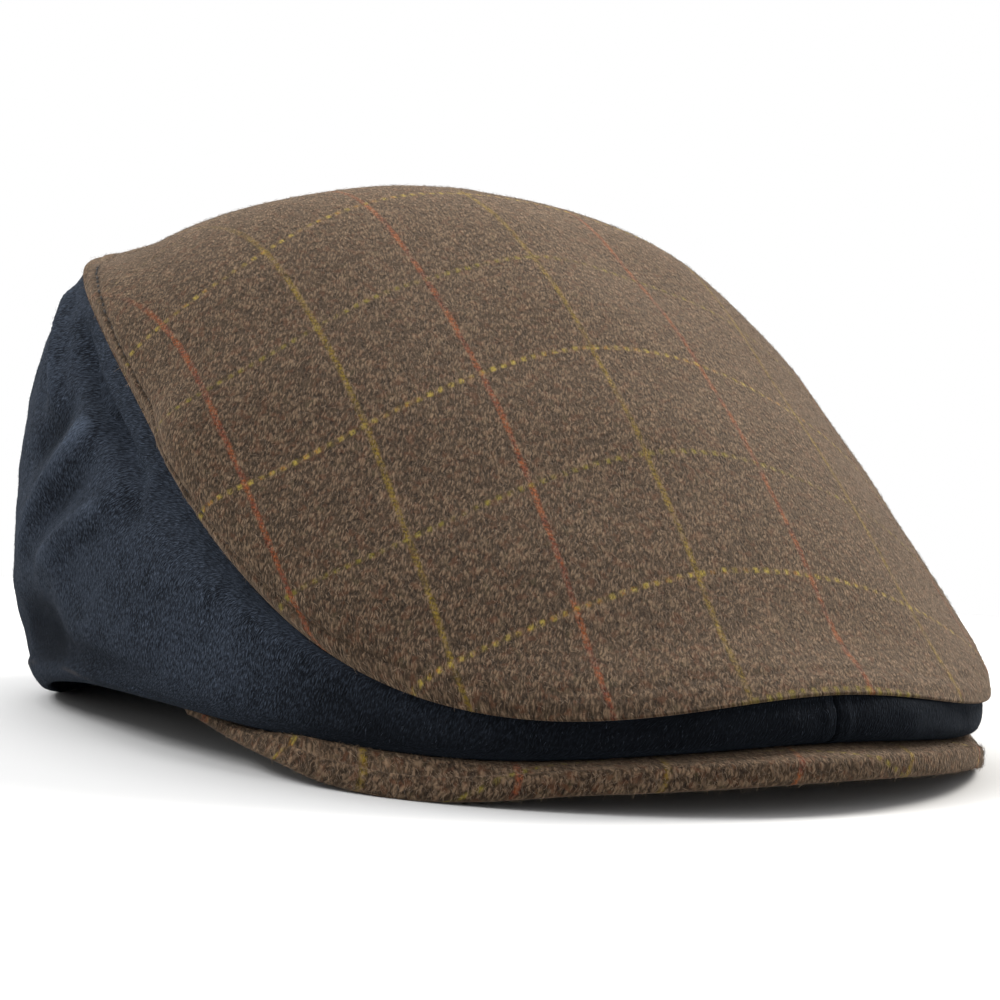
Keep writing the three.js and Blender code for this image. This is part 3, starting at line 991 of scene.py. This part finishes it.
def dress(piece, material, replaced=None):
    """Gives a piece its material and its place in the frame."""
    piece.data.materials.append(material)
    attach(piece, "root")
    if replaced:
        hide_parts(replaced)
    return piece


def floor():
    """A round of the studio's floor, as pale as the room beyond it."""
    radius, sides = 0.45, 96
    turns = np.arange(sides) * 2 * math.pi / sides
    rim = [(radius * math.cos(t), radius * math.sin(t), 0) for t in turns]
    mesh = bpy.data.meshes.new("floor")
    mesh.from_pydata(rim, [], [tuple(range(sides))])
    made = bpy.data.objects.new("floor", mesh)
    bpy.context.scene.collection.objects.link(made)
    mesh.materials.append(plain_floor("pale_floor"))


def camera():
    a, e, r = (math.radians(v) for v in (EYE.azimuth, EYE.elevation, EYE.roll))
    back = Vector((math.sin(a) * math.cos(e), -math.cos(a) * math.cos(e), math.sin(e)))
    level = Vector((math.cos(a), math.sin(a), 0))
    above = back.cross(level)
    right = math.cos(r) * level + math.sin(r) * above
    up = math.cos(r) * above - math.sin(r) * level
    place = Vector(EYE.aim) * MM + back * EYE.distance * MM
    data = bpy.data.cameras.new("camera")
    data.lens, data.sensor_width = EYE.lens, 36
    made = bpy.data.objects.new("camera", data)
    turned = Matrix((right, up, back)).transposed().to_4x4()
    made.matrix_world = Matrix.Translation(place) @ turned
    bpy.context.scene.collection.objects.link(made)
    bpy.context.scene.camera = made


def soft_light(name, place, power, size, tint=(1, 1, 1)):
    """A square lamp that faces the middle of the cap."""
    data = bpy.data.lights.new(name, "AREA")
    data.shape, data.size, data.energy, data.color = "SQUARE", size, power, tint
    made = bpy.data.objects.new(name, data)
    made.location = place
    made.rotation_euler = (Vector(place) - Vector((0, 0, 0.06))).to_track_quat("Z", "Y").to_euler()
    bpy.context.scene.collection.objects.link(made)


def studio():
    soft_light("overhead", (-0.1, 0.35, 1.2), 12, 0.9)
    soft_light("left_side", (-0.95, 0.25, 1.0), 17, 0.6)
    soft_light("right_side", (1.1, 0.0, 0.95), 33, 0.6, (1, 0.96, 0.9))
    world = bpy.data.worlds.new("studio")
    world.use_nodes = True
    world.node_tree.nodes["Background"].inputs["Color"].default_value = (1, 1, 1, 1)
    world.node_tree.nodes["Background"].inputs["Strength"].default_value = 1.0
    bpy.context.scene.world = world
    bpy.context.scene.view_settings.view_transform = "Standard"


def cap():
    # the peak's wool is a copy painted lighter, standing in for light that falls short on its rim
    tweed, lighter_painted_peak_tweed = wool("checked_wool", 1.0), wool("peak_wool_painted_lighter", 1.3)
    suede_cloth = suede("navy_suede")
    wool_hair = hair("wool_hair", colour(36, 28, 21), colour(128, 108, 88))
    nap_hair = hair("nap_hair", colour(8, 10, 12), colour(54, 62, 75))
    for side, name in ((-1, "right"), (1, "left")):
        cut = suede_panel_sheet(side)
        panel = suede_panel(f"suede_panel_{name}", cut)
        dress(panel, suede_cloth, f"side_panel_{name}")
        shown = cut.outer[:len(cut.levels)]
        hairs = dress(fibres(f"suede_hairs_{name}", shown, 14000, 41 + side, NAP_HAIR), nap_hair)
    cut = wool_top_sheet()
    top_piece = dress(wool_top(cut), tweed, "crown_top")
    hairs = dress(fibres("wool_top_hairs", cut.outer, 34000, 31, WOOL_HAIR), wool_hair)
    stitches = dress(top_stitches(cut), thread("dark_thread"))
    peak = peak_rows()
    dress(wool_peak(peak), lighter_painted_peak_tweed, "peak")
    dress(fibres("wool_peak_hairs", peak.shown, 8000, 51, WOOL_HAIR), wool_hair)


cap()
floor()
studio()
camera()
